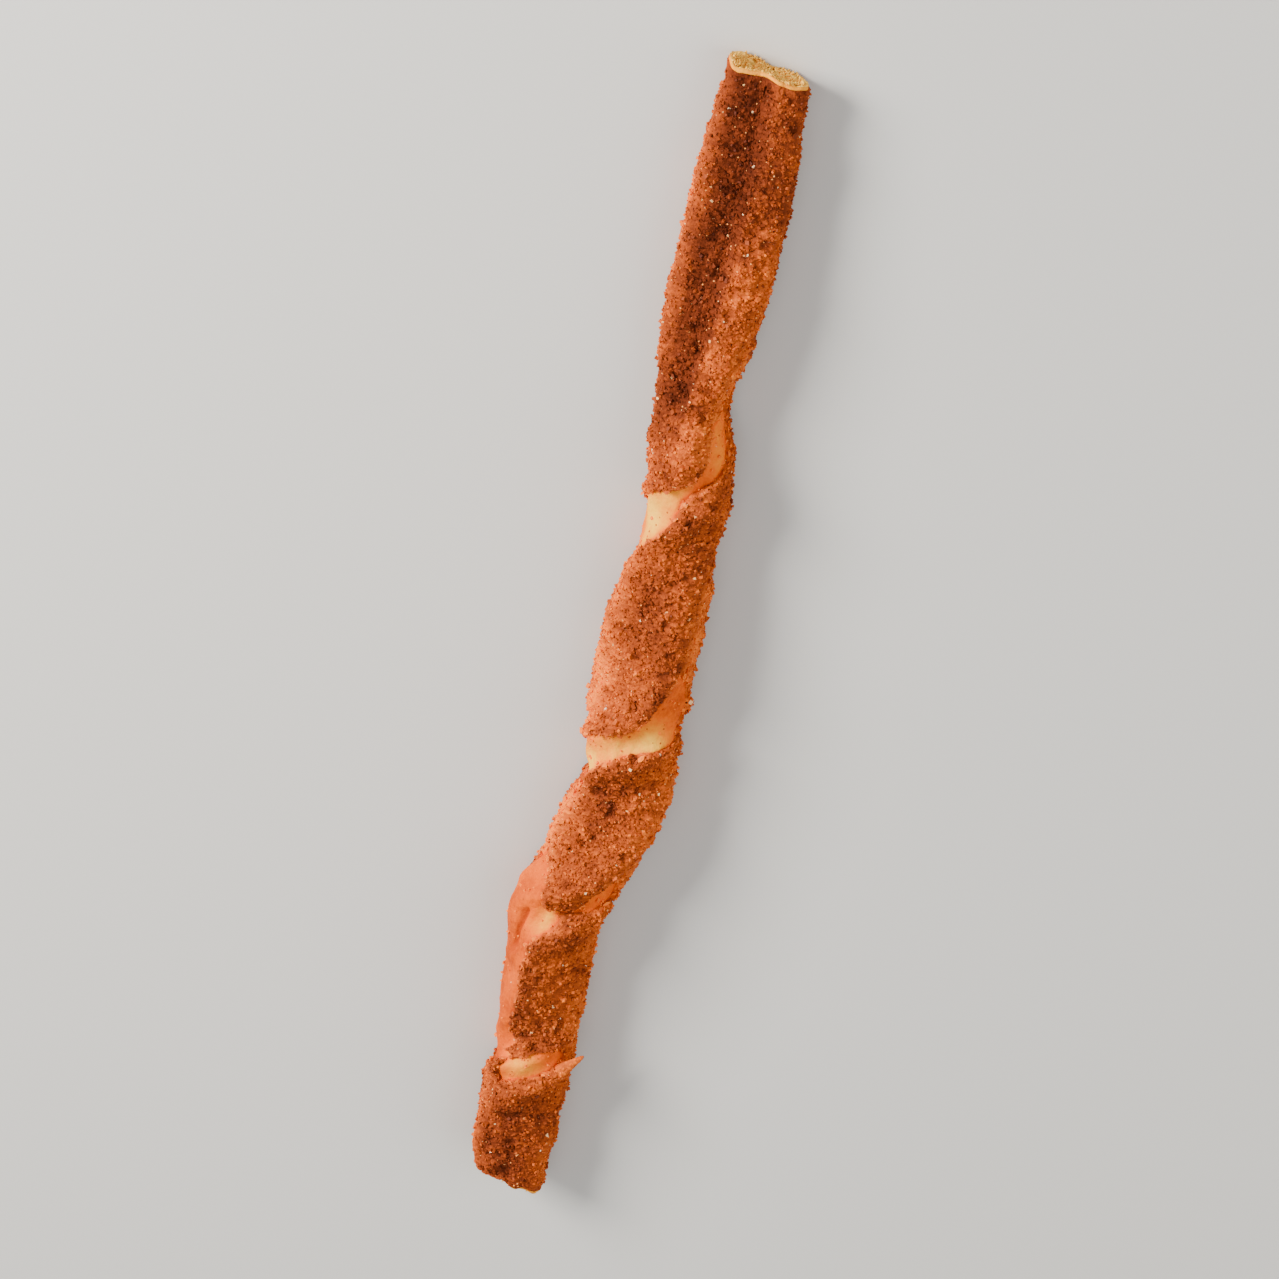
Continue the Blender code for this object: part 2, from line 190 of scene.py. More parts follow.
def noise(points, size, seed):
    """Smooth noise from -1 to 1: random numbers at the corners of cubes of this size, blended between."""
    place = points / size
    cell = np.floor(place).astype(np.int64)
    t = place - cell
    t = t**3 * (t * (t * 6 - 15) + 10)
    total = 0.0
    for corner in itertools.product((0, 1), repeat=3):
        weight = np.prod(np.where(np.array(corner) == 1, t, 1 - t), axis=-1)
        total = total + weight * hashed(cell + np.array(corner), seed)
    return 2 * total - 1


def layered(points, layers):
    """Noises of several sizes added: the sum of height * noise for each (size, height, seed)."""
    return sum(height * noise(points, size, seed) for size, height, seed in layers)


def cells(points, size, seed):
    """For points scattered one to a cube: distance to the nearest, how much farther the next is, the
    nearest's own number from 0 to 1, and the height there of a plane through it that leans its own way."""
    place = points / size
    cell = np.floor(place).astype(np.int64)
    nearest, second = (np.full(points.shape[:-1], 9.0) for _ in range(2))
    number, lean = (np.zeros(points.shape[:-1]) for _ in range(2))
    for offset in itertools.product((-1, 0, 1), repeat=3):
        there = cell + np.array(offset)
        draws = np.stack([hashed(there, seed + k) for k in range(7)], axis=-1)
        away = place - there - draws[..., :3]
        distance = np.linalg.norm(away, axis=-1)
        closer = distance < nearest
        second = np.where(closer, nearest, np.minimum(second, distance))
        nearest = np.where(closer, distance, nearest)
        number = np.where(closer, draws[..., 3], number)
        lean = np.where(closer, np.sum(away * (2 * draws[..., 4:] - 1), axis=-1), lean)
    return nearest, second - nearest, number, lean


def grains(points, size, seed):
    """Blocky grains that fill the surface: each a leaning plane of its own height, with a groove round it."""
    _, gap, number, lean = cells(points, size, seed)
    return (0.35 + 0.65 * number + 0.9 * lean) * smooth(0.0, 0.30, gap), number


probe = noise(np.random.default_rng(1).uniform(0, 50, (4000, 3)), 3.0, 5)
print("noise spans", round(float(probe.min()), 2), "to", round(float(probe.max()), 2))

# %% [markdown]
# The twisted strip.
#
# The strip's outline is a rounded rectangle. It could be twisted evenly, like a drill, but the real stick
# lies in flat stretches with a quick half turn between them, so the turn is a sum of S curves, one for each
# crossing. The outline has a width and thickness of its own where a narrow side is on top: it is rounder.

# %% The strip as a function of place and angle
def turned(s):
    """The twist in radians: pi times the sum, over the crossings, of (1 + tanh((s - place) / length)) / 2."""
    half_turns = spline(s, EXTRA_TURN) - 0.5
    for place, length in CROSSINGS:
        half_turns = half_turns + 0.5 * (1 + np.tanh((s - place) / length))
    return math.pi * half_turns


def section(s, angle):
    """A superellipse: a runs across the width, b through the thickness, and |a/w|^p + |b/t|^p = 1."""
    on_side = np.cos(turned(s)) ** 2
    width = spline(s, FACE_WIDTHS) * (1 - on_side) + spline(s, SIDE_WIDTHS) * on_side
    thick = spline(s, FACE_THICKS) * (1 - on_side) + spline(s, SIDE_THICKS) * on_side
    across = np.abs(np.cos(angle)) / (width / 2)
    through = np.abs(np.sin(angle)) / (thick / 2)
    radius = (across**CORNER_POWER + through**CORNER_POWER) ** (-1 / CORNER_POWER)
    return radius * np.cos(angle), radius * np.sin(angle)


def placed(s, a, b):
    """The strip's point (a, b) turned by the twist, and set on the bent middle line."""
    phi = turned(s)
    middle = spline(s, FACE_THICKS) / 2 - PRESSED_FLAT + CROSSING_RISE * np.cos(phi) ** 2
    y = spline(s, BENDS) - a * np.sin(phi) + b * np.cos(phi)
    z = middle + a * np.cos(phi) + b * np.sin(phi)
    return np.stack(np.broadcast_arrays(s - LENGTH / 2, y, z), axis=-1)


def round_from_side(s, a, b):
    """How far round the outline from the narrow side's middle: b plus, beyond the corner, w/2 - |a|."""
    half_width = section(s, 0.0)[0]
    return b + np.sign(b) * (half_width - np.abs(a))


def crust_margin(s, a, b):
    """How far, in mm, a point lies outside every bare band, plus the borders' noise: below 0 it is bare."""
    around = round_from_side(s, a, b)
    outside = np.inf
    for side, band in BARE_BANDS:
        places, low, high = np.array(band, float).T
        beyond = np.maximum(np.interp(s, places, low) - around, around - np.interp(s, places, high))
        outside = np.minimum(outside, np.where(a * side > 0, beyond, np.inf))
    return outside + layered(placed(s, a, b), BORDER_NOISE)


def heading(s, a, b):
    """The direction of a point from the middle line, in degrees: 0 straight up, and 90 towards -Y."""
    phi = turned(s)
    return np.degrees(np.arctan2(a * np.sin(phi) - b * np.cos(phi), a * np.cos(phi) + b * np.sin(phi)))


def spots(s, direction, table):
    """The sum of soft spots (place, heading, reach along, reach round, amount), each amount * exp(-r^2)."""
    return sum(amount * np.exp(-(((s - place) / along) ** 2) - ((direction - middle) / around) ** 2)
               for place, middle, along, around, amount in table)


def broad_relief(s, a, b):
    """The lumps, and the long trough in the longest face, as the solid has them."""
    half_width = np.where(a > TROUGH_MIDDLE, *TROUGH_HALF_WIDTHS)
    trough = np.exp(-(((a - TROUGH_MIDDLE) / half_width) ** 4)) * (b < 0)
    rise = layered(placed(s, a, b), LUMPS) - TROUGH_DEPTH * smooth(TROUGH_START, TROUGH_FULL, s) * trough
    return rise - spots(s, heading(s, a, b), HOLLOWS)


def skin(s, angle, rise):
    """Points that stand out from the strip by rise, ragged towards the ends, and never below the tray."""
    a, b = section(s, angle)
    grown = 1 + rise / np.hypot(a, b)
    points = placed(s, a * grown, b * grown)
    low_end = np.clip(1 - s / END_REACH, 0, 1) ** 2
    high_end = np.clip(1 - (LENGTH - s) / END_REACH, 0, 1) ** 2
    points[..., 0] += END_RAGGED * (low_end + high_end) * layered(points, END_NOISE)
    points[..., 0] += LOW_END_SLANT * low_end * (points[..., 1] + LOW_END_PIVOT)
    slant = HIGH_END_REACH + HIGH_END_SLANT * points[..., 1] + HIGH_END_LEAN * points[..., 2]
    points[..., 0] += high_end * slant - SET_BACK
    points[..., 2] = np.maximum(points[..., 2], 0.0)
    return points


class Grid:
    """The strip sampled in rows along it and columns round it, with what the surfaces need at each point."""

    def __init__(self, places, columns):
        self.s = places[:, None]
        self.angle = (np.arange(columns) * 2 * math.pi / columns)[None, :]
        self.a, self.b = section(self.s, self.angle)
        self.plain = placed(self.s, self.a, self.b)
        self.margin = crust_margin(self.s, self.a, self.b)
        self.broad = broad_relief(self.s, self.a, self.b)
        self.heading = heading(self.s, self.a, self.b)
        self.on_side = np.exp(-((round_from_side(self.s, self.a, self.b) / SIDE_REACH) ** 2))

    def skin(self, rise):
        """The points of this grid that stand out from the strip by rise."""
        return skin(self.s, self.angle, rise)


coarse = Grid(np.linspace(0, LENGTH, 540), 150)
print("crust covers", round(100 * float((coarse.margin > 0).mean())), "% of the strip")

# %% [markdown]
# From arrays to meshes.
#
# A closed tube is a grid of rings with a disc on each end. The faces are index arithmetic on the grid, and
# foreach_set puts the whole arrays into the mesh at once. Values that the materials need, such as how dark
# the crust is, go in as attributes on the points.

# %% Mesh helpers
def make_piece(name, points, faces, attributes, material, flat=False):
    """An object at the origin from points in mm, faces of equal length, and named numbers for the points."""
    mesh = bpy.data.meshes.new(name)
    count, sides = faces.shape
    mesh.vertices.add(len(points))
    mesh.vertices.foreach_set("co", (points * MM).astype(np.float32).ravel())
    mesh.loops.add(count * sides)
    mesh.loops.foreach_set("vertex_index", faces.astype(np.int32).ravel())
    mesh.polygons.add(count)
    mesh.polygons.foreach_set("loop_start", np.arange(0, count * sides, sides, dtype=np.int32))
    mesh.update(calc_edges=True)
    mesh.polygons.foreach_set("use_smooth", np.full(count, not flat))
    for key, values in attributes.items():
        layer = mesh.attributes.new(key, "FLOAT", "POINT")
        layer.data.foreach_set("value", np.asarray(values, np.float32).ravel())
    mesh.materials.append(material)
    mesh.validate()
    piece = bpy.data.objects.new(name, mesh)
    bpy.context.scene.collection.objects.link(piece)
    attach(piece, "root")
    print(name, len(mesh.polygons) * (sides - 2), "triangles")
    return piece


def ring_faces(rows, columns):
    """Quads of a tube of rings: each joins a point, the next round the ring, and the same two one ring on."""
    index = np.arange(rows * columns).reshape(rows, columns)
    after = np.roll(index, -1, axis=1)
    return np.stack([index[:-1], after[:-1], after[1:], index[1:]], axis=-1).reshape(-1, 4)


def closed_tube(rings):
    """Points and quads of a tube with a point in the middle of each end, where quads meet in a fan."""
    columns = rings.shape[1]
    middles = [rings[0].mean(axis=0)[None], rings[-1].mean(axis=0)[None]]
    points = np.concatenate([rings.reshape(-1, 3), *middles])
    low, high = len(points) - 2, len(points) - 1
    j = np.arange(0, columns, 2)
    j_after = np.roll(j, -1)
    base = (len(rings) - 1) * columns
    low_fan = np.stack([j, np.full_like(j, low), j_after, j + 1], axis=-1)
    high_fan = np.stack([base + j, base + j + 1, base + j_after, np.full_like(j, high)], axis=-1)
    return points, np.concatenate([ring_faces(len(rings), columns), low_fan, high_fan])


def tube_values(values):
    """One number for each point of a closed tube: the ends' middle points take their rings' means."""
    return np.concatenate([values.ravel(), [values[0].mean(), values[-1].mean()]])


def grid_normals(points):
    """Outward normals of a tube's points: the step round the ring crossed with the step along, made unit."""
    around = np.roll(points, -1, axis=1) - np.roll(points, 1, axis=1)
    along = np.gradient(points, axis=0)
    normal = np.cross(around, along)
    return normal / np.maximum(np.linalg.norm(normal, axis=-1, keepdims=True), 1e-9)


# %% [markdown]
# Shader groups that several materials share.
#
# Crust, dough and crumb all vary in patches, all have fine bumps below the size of the mesh, and all carry
# specks. Each effect is one node group with its own inputs, so each material places it with its own scale
# and strength. The groups read Object coordinates in metres, so a scale of 1000 is one feature a millimetre.

# %% Node group helpers
def new_group(name, inputs, outputs):
    """A shader node group with float inputs (name, default), a Vector input, and float outputs."""
    group = bpy.data.node_groups.new(name, "ShaderNodeTree")
    group.interface.new_socket("Vector", in_out="INPUT", socket_type="NodeSocketVector")
    for label, default in inputs:
        socket = group.interface.new_socket(label, in_out="INPUT", socket_type="NodeSocketFloat")
        socket.default_value = default
    for label in outputs:
        group.interface.new_socket(label, in_out="OUTPUT", socket_type="NodeSocketFloat")
    return group, group.nodes.new("NodeGroupInput"), group.nodes.new("NodeGroupOutput")


def math_node(tree, operation, first, second, clamp=False):
    """One arithmetic node whose two values are sockets or plain numbers."""
    node = tree.nodes.new("ShaderNodeMath")
    node.operation = operation
    node.use_clamp = clamp
    for socket, value in zip(node.inputs, (first, second)):
        if isinstance(value, bpy.types.NodeSocket):
            tree.links.new(value, socket)
        else:
            socket.default_value = value
    return node.outputs[0]


def noise_node(tree, vector, scale, detail, roughness):
    """A noise texture whose vector and scale are sockets, and its value output."""
    node = tree.nodes.new("ShaderNodeTexNoise")
    tree.links.new(vector, node.inputs["Vector"])
    tree.links.new(scale, node.inputs["Scale"])
    node.inputs["Detail"].default_value = detail
    node.inputs["Roughness"].default_value = roughness
    return node.outputs["Fac"]


# %% [markdown]
# Patches, grit and specks.
#
# Patches are two noises added. Grit is cells in two sizes, whose middles stand up as round bumps. Specks are
# small discs in a share of the cells, picked by each cell's own random colour. Each material could hold its
# own copy of these nodes, but a group is made once and only its numbers differ.

# %% Patches, grit and specks
def patches_group():
    """Patches: broad and fine noise added, about 0, times Amount."""
    group, inside, outside = new_group("patches", (("Scale", 150.0), ("Fine Scale", 900.0), ("Amount", 0.3)),
                                       ("Value",))
    broad_patch = noise_node(group, inside.outputs["Vector"], inside.outputs["Scale"], 3, 0.6)
    fine_patch = noise_node(group, inside.outputs["Vector"], inside.outputs["Fine Scale"], 4, 0.65)
    both = math_node(group, "ADD", broad_patch, fine_patch)
    centred = math_node(group, "SUBTRACT", both, 1.0)
    amount = math_node(group, "MULTIPLY", centred, inside.outputs["Amount"])
    group.links.new(amount, outside.inputs["Value"])
    return group


def grit_group():
    """Grit: rounded cells in two sizes, one minus the distance to each cell's middle, as a height."""
    group, inside, outside = new_group("grit", (("Scale", 1500.0), ("Small", 0.4)), ("Height",))
    heights = []
    for factor in (1.0, 2.3):
        scale = math_node(group, "MULTIPLY", inside.outputs["Scale"], factor)
        cell = group.nodes.new("ShaderNodeTexVoronoi")
        group.links.new(inside.outputs["Vector"], cell.inputs["Vector"])
        group.links.new(scale, cell.inputs["Scale"])
        heights.append(math_node(group, "SUBTRACT", 1.0, cell.outputs["Distance"]))
    small = math_node(group, "MULTIPLY", heights[1], inside.outputs["Small"])
    group.links.new(math_node(group, "ADD", heights[0], small), outside.inputs["Height"])
    return group


def specks_group():
    """Specks: 1 where a cell's middle is nearer than Size, in the share of cells that Share gives."""
    group, inside, outside = new_group("specks", (("Scale", 900.0), ("Size", 0.3), ("Share", 0.3)), ("Mask",))
    cell = group.nodes.new("ShaderNodeTexVoronoi")
    group.links.new(inside.outputs["Vector"], cell.inputs["Vector"])
    group.links.new(inside.outputs["Scale"], cell.inputs["Scale"])
    near = math_node(group, "LESS_THAN", cell.outputs["Distance"], inside.outputs["Size"])
    split = group.nodes.new("ShaderNodeSeparateColor")
    group.links.new(cell.outputs["Color"], split.inputs["Color"])
    chosen = math_node(group, "LESS_THAN", split.outputs["Red"], inside.outputs["Share"])
    group.links.new(math_node(group, "MULTIPLY", near, chosen), outside.inputs["Mask"])
    return group


patches, grit, specks = patches_group(), grit_group(), specks_group()
print("groups:", patches.name, grit.name, specks.name)

# %% [markdown]
# The materials.
#
# Baked sugar and cinnamon is a matt brown that runs from nearly black-brown in the hollows, where the
# darkness is mostly painted shade, to a warm tan on the edges, where the crust is thin. One attribute,
# tone, says where a point lies in that range, and a colour ramp turns it into a colour. The bare dough
# has a ramp of its own, from orange-brown where it baked on the outside to cream where the twist
# stretched it open. The crumb of the snapped ends is cream, and painted tan in its holes as shade.

# %% Material helpers
class Finish:
    """A material with its Principled shader, Object coordinates, and shorthands for the nodes used here."""

    def __init__(self, name, roughness, specular, coat=0.0):
        self.material = bpy.data.materials.new(name)
        self.material.use_nodes = True
        self.tree = self.material.node_tree
        self.shader = self.tree.nodes["Principled BSDF"]
        self.shader.inputs["Roughness"].default_value = roughness
        self.shader.inputs["Specular IOR Level"].default_value = specular
        self.shader.inputs["Coat Weight"].default_value = coat
        self.coordinates = self.tree.nodes.new("ShaderNodeTexCoord").outputs["Object"]

    def attribute(self, name):
        """The number that each point carries under this name."""
        node = self.tree.nodes.new("ShaderNodeAttribute")
        node.attribute_name = name
        return node.outputs["Fac"]

    def group(self, group, **values):
        """A shared effect at the Object coordinates, with its inputs set by name."""
        node = self.tree.nodes.new("ShaderNodeGroup")
        node.node_tree = group
        self.tree.links.new(self.coordinates, node.inputs["Vector"])
        for label, value in values.items():
            node.inputs[label.replace("_", " ")].default_value = value
        return node.outputs[0]

    def ramp(self, factor, stops):
        """A colour for each factor, blended in straight lines between the stops."""
        node = self.tree.nodes.new("ShaderNodeValToRGB")
        elements = node.color_ramp.elements
        while len(elements) < len(stops):
            elements.new(0.5)
        for element, (position, colour) in zip(elements, stops):
            element.position = position
            element.color = (*colour, 1.0)
        self.tree.links.new(factor, node.inputs["Fac"])
        return node.outputs["Color"]

    def mix(self, factor, first, colour):
        """first * (1 - factor) + colour * factor."""
        node = self.tree.nodes.new("ShaderNodeMix")
        node.data_type = "RGBA"
        self.tree.links.new(factor, node.inputs["Factor"])
        self.tree.links.new(first, node.inputs["A"])
        node.inputs["B"].default_value = (*colour, 1.0)
        return node.outputs["Result"]

    def colour(self, socket):
        """Makes a socket the shader's base colour."""
        self.tree.links.new(socket, self.shader.inputs["Base Color"])

    def bump(self, height, strength, distance):
        """Tilts the shader's normal by the slope of a height, which is distance metres for 1."""
        node = self.tree.nodes.new("ShaderNodeBump")
        node.inputs["Strength"].default_value = strength
        node.inputs["Distance"].default_value = distance
        self.tree.links.new(height, node.inputs["Height"])
        self.tree.links.new(node.outputs["Normal"], self.shader.inputs["Normal"])


CRUST_STOPS = ((0.0, (0.080, 0.014, 0.005)), (0.3, (0.18, 0.032, 0.009)), (0.55, (0.36, 0.062, 0.011)),
               (0.8, (0.63, 0.118, 0.014)), (1.0, (0.95, 0.21, 0.018)))
DOUGH_STOPS = ((0.0, (0.48, 0.060, 0.003)), (0.3, (0.84, 0.128, 0.003)), (0.65, (0.95, 0.27, 0.012)),
               (1.0, (1.0, 0.50, 0.04)))
CRUMB_STOPS = ((0.0, (0.90, 0.26, 0.02)), (0.45, (1.0, 0.43, 0.045)), (1.0, (1.0, 0.60, 0.11)))
CRYSTAL_STOPS = ((0.0, (0.80, 0.24, 0.05)), (0.6, (0.95, 0.55, 0.22)), (1.0, (1.0, 0.86, 0.62)))
DARK_SPECK, PALE_SPECK, DOUGH_SPECK = (0.08, 0.012, 0.005), (0.92, 0.34, 0.09), (0.46, 0.08, 0.012)


def crust_finish():
    """Crust: tone plus patches through the crust's ramp, with dark and pale specks, and gritty bumps."""
    finish = Finish("cinnamon_crust", roughness=0.75, specular=0.04)
    tone = math_node(finish.tree, "ADD", finish.attribute("tone"),
                     finish.group(patches, Scale=260.0, Fine_Scale=1700.0, Amount=0.30), clamp=True)
    colour = finish.ramp(tone, CRUST_STOPS)
    colour = finish.mix(finish.group(specks, Scale=1500.0, Size=0.28, Share=0.12), colour, DARK_SPECK)
    colour = finish.mix(finish.group(specks, Scale=1900.0, Size=0.26, Share=0.08), colour, PALE_SPECK)
    finish.colour(colour)
    finish.bump(finish.group(grit, Scale=2300.0, Small=0.5), 0.6, 0.0002)
    return finish.material


def dough_finish():
    """Bare dough: tone plus soft patches through the dough's ramp, a few specks, and faint bumps."""
    finish = Finish("bare_dough", roughness=0.65, specular=0.04)
    tone = math_node(finish.tree, "ADD", finish.attribute("tone"),
                     finish.group(patches, Scale=320.0, Fine_Scale=1300.0, Amount=0.42), clamp=True)
    colour = finish.ramp(tone, DOUGH_STOPS)
    colour = finish.mix(finish.group(specks, Scale=1300.0, Size=0.24, Share=0.10), colour, DOUGH_SPECK)
    finish.colour(colour)
    finish.bump(finish.group(grit, Scale=1300.0, Small=0.6), 0.4, 0.0002)
    return finish.material


def crumb_finish():
    """Open crumb: pale, painted darker in its holes as shade, with fine soft bumps."""
    finish = Finish("open_crumb", roughness=0.85, specular=0.05)
    tone = math_node(finish.tree, "ADD", finish.attribute("tone"),
                     finish.group(patches, Scale=400.0, Fine_Scale=1500.0, Amount=0.3), clamp=True)
    finish.colour(finish.ramp(tone, CRUMB_STOPS))
    finish.bump(finish.group(grit, Scale=1400.0, Small=0.6), 0.5, 0.0003)
    return finish.material


def grain_finish():
    """Grains of cinnamon sugar: each grain's own tone through the crust's ramp, with a slight shine."""
    finish = Finish("cinnamon_grain", roughness=0.5, specular=0.06)
    tone = math_node(finish.tree, "ADD", finish.attribute("tone"),
                     finish.group(patches, Scale=900.0, Fine_Scale=2600.0, Amount=0.14), clamp=True)
    finish.colour(finish.ramp(tone, CRUST_STOPS))
    return finish.material


def crystal_finish():
    """Sugar crystals: amber to clear white by tone, smooth and glossy."""
    finish = Finish("sugar_crystal", roughness=0.22, specular=0.35, coat=0.1)
    finish.colour(finish.ramp(finish.attribute("tone"), CRYSTAL_STOPS))
    return finish.material


crust_material, dough_material, crumb_material = crust_finish(), dough_finish(), crumb_finish()
grain_material, crystal_material = grain_finish(), crystal_finish()
print("materials:", [material.name for material in bpy.data.materials])

# %% [markdown]
# The dough inside.
#
# The whole strip is dough, so it is made whole, and the crust is laid over it as a second skin. Where the
# crust's skin dips below the dough's, the dough shows, and the line where they cross is a crisp border, as
# on the real stick. Dough that was on the outside all along bakes orange-brown. Where the twist stretched it
# open late it is cream, so the colour is an even tan with a few cream spots. Stretched dough has faint
# creases that run along the strip, and one deeper crease leads up to the second crossing, painted darker
# as shade. At both ends the dough comes out to the crust's own outline and turns cream, so each break is
# pale out to its edge.

# %% The dough's surface
DOUGH_TONE = 0.18
DOUGH_PATCHES = ((4.0, 0.12, 71),)
CREAM_SPOTS = (
    (127.5, -55.0, 6.5, 44.0, 0.80), (133.5, -14.0, 3.0, 26.0, 0.38), (82.0, -62.0, 4.0, 34.0, 0.78),
    (87.0, -16.0, 3.2, 30.0, 0.66), (89.5, 32.0, 3.2, 26.0, 0.75), (53.6, -10.0, 3.6, 17.0, 0.72),
    (25.5, -10.0, 3.5, 40.0, 0.62), (140.5, 62.0, 6.0, 26.0, 0.30), (60.0, 48.0, 4.0, 20.0, 0.16),
    (86.5, 180.0, 4.0, 40.0, 0.45), (131.0, 175.0, 5.0, 40.0, 0.45), (44.0, -75.0, 16.0, 28.0, -0.10),
)
CREASE = ((44.0, -58.0), (50.0, -50.0), (55.0, -44.0))
CREASE_DEPTH, CREASE_HALF_WIDTH, CREASE_RADIUS = 0.7, 0.45, 6.5
CREASE_FADES_IN, CREASE_FADES_OUT = 3.0, 1.5
STRETCH = np.array([0.12, 1.0, 1.0])
FOLDS = ((1.3, 0.12, 61), (0.6, 0.06, 63))
BLISTER_SIZE, BLISTER_HEIGHT, BLISTER_LEVELS = 1.5, 0.12, (0.4, 0.8)
FINE_BUMPS = ((0.8, 0.05, 69),)
UNDER_CRUST, UNDER_FROM = 0.45, (0.3, 1.2)
CREAM_END, CREAM_END_FULL = 3.5, 0.3
END_RISE, END_CREAM = 0.6, 0.9
CREASE_PAINTED_SHADE = 0.35
BORDER_DARK, BORDER_DARKENS = 0.30, (-0.8, 0.1)


def crease(grid):
    """A groove along a path of (place, heading): exp(-(distance / half width)^2), fading at both ends."""
    places, headings = np.array(CREASE).T
    away = CREASE_RADIUS * np.radians(grid.heading - np.interp(grid.s, places, headings))
    fade_in = smooth(places[0], places[0] + CREASE_FADES_IN, grid.s)
    fade_out = smooth(places[-1], places[-1] - CREASE_FADES_OUT, grid.s)
    return fade_in * fade_out * np.exp(-((away / CREASE_HALF_WIDTH) ** 2))


def dough_surface(grid):
    """How far the dough stands out at each point of a grid, lower where crust covers it, and its tone."""
    blisters = BLISTER_HEIGHT * smooth(*BLISTER_LEVELS, noise(grid.plain, BLISTER_SIZE, 67))
    relief = layered(grid.plain * STRETCH, FOLDS) + blisters + layered(grid.plain, FINE_BUMPS)
    lower = UNDER_CRUST * smooth(*UNDER_FROM, grid.margin)
    near_end = smooth(CREAM_END, CREAM_END_FULL, grid.s)
    near_end = near_end + smooth(LENGTH - CREAM_END, LENGTH - CREAM_END_FULL, grid.s)
    rise = grid.broad - DOUGH_DIP + relief - CREASE_DEPTH * crease(grid)
    rise = rise - lower + (END_RISE + lower) * near_end
    tone = DOUGH_TONE + spots(grid.s, grid.heading, CREAM_SPOTS) + layered(grid.plain, DOUGH_PATCHES)
    # The crease is painted darker, as shade.
    tone = tone - BORDER_DARK * smooth(*BORDER_DARKENS, grid.margin) - CREASE_PAINTED_SHADE * crease(grid)
    return rise, tone + END_CREAM * near_end


dough_rise, dough_tone = dough_surface(coarse)
dough_points = coarse.skin(dough_rise)
print("bare dough lies", round(float(dough_rise.mean()), 2), "mm from the plain strip")

# %% [markdown]
# The snapped ends.
#
# A crisp stick breaks square, and the break shows bubbles torn open. Each end is a disc of rings from the
# dough's last ring to the middle. Cell noise sinks round holes into it and leaves thin walls between them.

# %% Discs of open crumb
CAP_RINGS, LAST_RING = 30, 0.02
BUBBLE, BUBBLE_DEPTH, BUBBLE_EDGE = 1.5, 0.55, (0.62, 0.15)
WHOLE_RIM = (1.0, 0.86)
BUBBLE_STRETCH = np.array([0.4, 1.0, 1.0])
CRUMB_BUMPS = ((0.9, 0.5, 87),)
CRUMB_TONE, BUBBLE_PAINTED_SHADE = 0.95, 0.3


def crumb_disc(rim, outward):
    """Rings from the rim to the middle, sunk along X by hollow * (1 - share^2), bubbles and bumps."""
    share = np.linspace(1, LAST_RING, CAP_RINGS)[:, None, None]
    middle = rim.mean(axis=0)
    disc = middle + (rim - middle) * share
    nearest, _, number, _ = cells(disc * BUBBLE_STRETCH, BUBBLE, 83)
    bubbles = smooth(*BUBBLE_EDGE, nearest) * (0.35 + 0.65 * number)
    inner = smooth(*WHOLE_RIM, share[..., 0])
    sunk = inner * (BUBBLE_DEPTH * bubbles - layered(disc, CRUMB_BUMPS))
    disc[..., 0] -= outward * (END_HOLLOW * (1 - share[..., 0] ** 2) + sunk)
    # The holes of the bubbles are painted darker, as shade.
    return disc, CRUMB_TONE - BUBBLE_PAINTED_SHADE * bubbles


def make_dough():
    """The dough's tube with a crumb disc on each end, whose faces have the crumb's material."""
    low_disc, low_tone = crumb_disc(dough_points[0], -1)
    high_disc, high_tone = crumb_disc(dough_points[-1], 1)
    rings = np.concatenate([low_disc[:0:-1], dough_points, high_disc[1:]])
    points, faces = closed_tube(rings)
    tones = tube_values(np.concatenate([low_tone[:0:-1], dough_tone, high_tone[1:]]))
    dough = make_piece("dough_strip", points, faces, {"tone": tones}, dough_material)
    dough.data.materials.append(crumb_material)
    row = faces.min(axis=1) // rings.shape[1]
    crumb = (row < CAP_RINGS - 1) | (row >= CAP_RINGS - 2 + len(dough_points))
    dough.data.polygons.foreach_set("material_index", crumb.astype(np.int32))
    return dough


make_dough()

# %% [markdown]
# The cinnamon crust.
#
# The crust is a layer of grains baked together. A smooth noise would look like dough, so its bumps are
# blocky grains in three sizes, each a small plane that leans its own way, with a groove round it, and
# there are pits where grains fell off. Each grain size has a height, a seed, and how far it is shortened
# along the stick. The grooves and the pits are painted darker as shade, and each grain has a random tone
# of its own. The trough in the longest face is painted darker, partly as shade and partly as more
# cinnamon, and the ridge beside it paler, as painted light. A few spots paint light on the rims that face
# the main light. The crust is made in stretches, one for each wide face that comes to the top, so each
# mesh stays light. At the stick's ends the layer folds in under the dough's skin and stops.

# %% The crust's surface
GRAIN_SIZES = ((1.4, 0.26, 101, 0.6), (0.8, 0.17, 131, 0.8), (0.45, 0.10, 161, 1.0))
GRAIN_MEAN = 0.25
PIT_SIZE, PIT_DEPTH, PIT_LEVELS = 1.7, 0.45, (0.36, 0.72)
SMOOTHER_SIDE, SMOOTHER_BELOW = 0.35, 0.7
COVERS, TUCKED_IN = (-0.3, 0.45), 0.8
NEAR_TRAY = (1.2, 0.0)
ROW_STEP, CRUST_COLUMNS = 0.172, 228
FOLD_PLACES = (3.2, 0.7, 0.45)
FOLD_RISES = (-2.6, -1.5)

